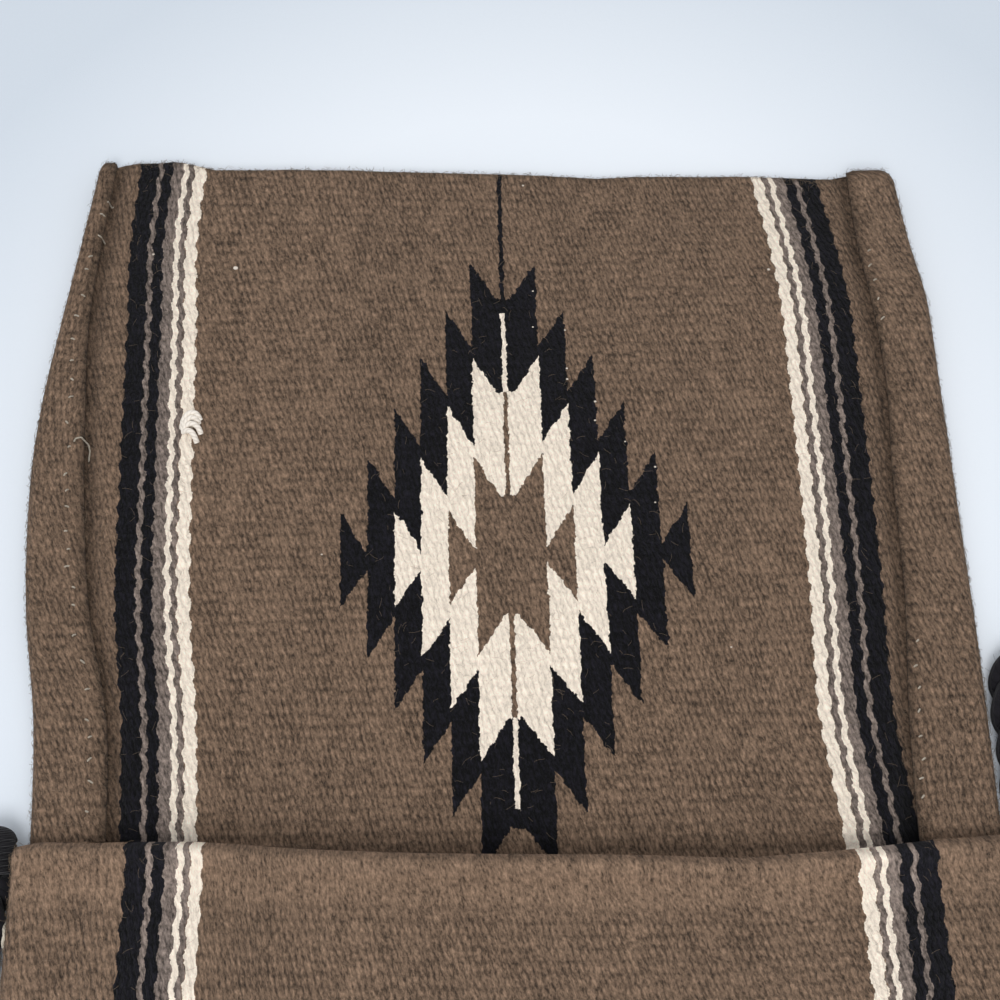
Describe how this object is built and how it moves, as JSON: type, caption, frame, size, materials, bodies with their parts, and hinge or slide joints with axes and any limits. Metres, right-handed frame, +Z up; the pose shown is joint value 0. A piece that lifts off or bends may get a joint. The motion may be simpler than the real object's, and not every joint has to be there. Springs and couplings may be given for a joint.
{
  "type": "tote bag",
  "caption": "Flat hand-woven wool shoulder bag lying open: folded pouch with a long hemmed flap, sewn sides and a braided cord strap.",
  "frame": {"origin": "under the middle of the mouth, on the underside of the back where it lies flat", "axes": "+Z up from the surface it lies on, +Y from the mouth along the open flap, +X to the right seen from the pouch's bottom"},
  "size_m": [0.374, 0.5737, 0.0199],
  "materials": {
    "wool_tapestry": "matt weft-faced wool tapestry, brown with black and white stripes and a stepped diamond",
    "sewing_yarn": "matt twisted cotton yarn",
    "black_braid": "matt braided black wool",
    "white_yarn": "matt plied white wool"
  },
  "bodies": {
    "root": {"woven_cloth": "wool_tapestry", "side_seam_left": "sewing_yarn", "side_seam_right": "sewing_yarn", "shoulder_strap": "black_braid", "strap_binding_left": "black_braid", "strap_binding_right": "black_braid", "stripe_knot": "white_yarn"}
  },
  "joints": []
}
